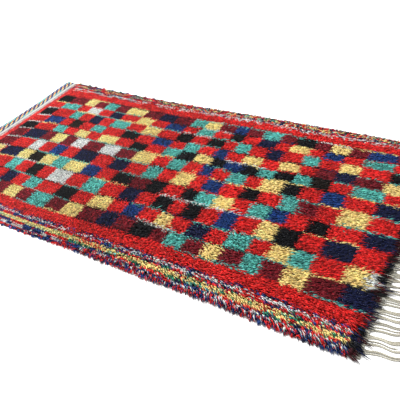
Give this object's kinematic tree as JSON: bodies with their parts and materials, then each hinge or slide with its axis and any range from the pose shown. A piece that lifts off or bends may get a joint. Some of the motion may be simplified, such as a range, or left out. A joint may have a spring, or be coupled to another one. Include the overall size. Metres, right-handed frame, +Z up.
{
  "type": "moroccan rug",
  "caption": "Rectangular checkered knotted-pile wool rug lying flat, with a flat-woven heading at one end and a warp fringe at the other.",
  "frame": {"origin": "on the underside, at the centre of the woven cloth without its fringe", "axes": "+X along the warps towards the fringe, +Y across the rug, +Z up out of the pile"},
  "size_m": [2.9976, 1.5731, 0.0242],
  "materials": {
    "wool_pile": "hand-knotted wool pile, matte",
    "wool_flatweave": "flat-woven and twined wool, matte",
    "warp_yarn": "natural plied wool warp, matte"
  },
  "bodies": {
    "root": {"pile_body": "wool_pile", "flatweave_end": "wool_flatweave", "warp_fringe": "warp_yarn"}
  },
  "joints": []
}
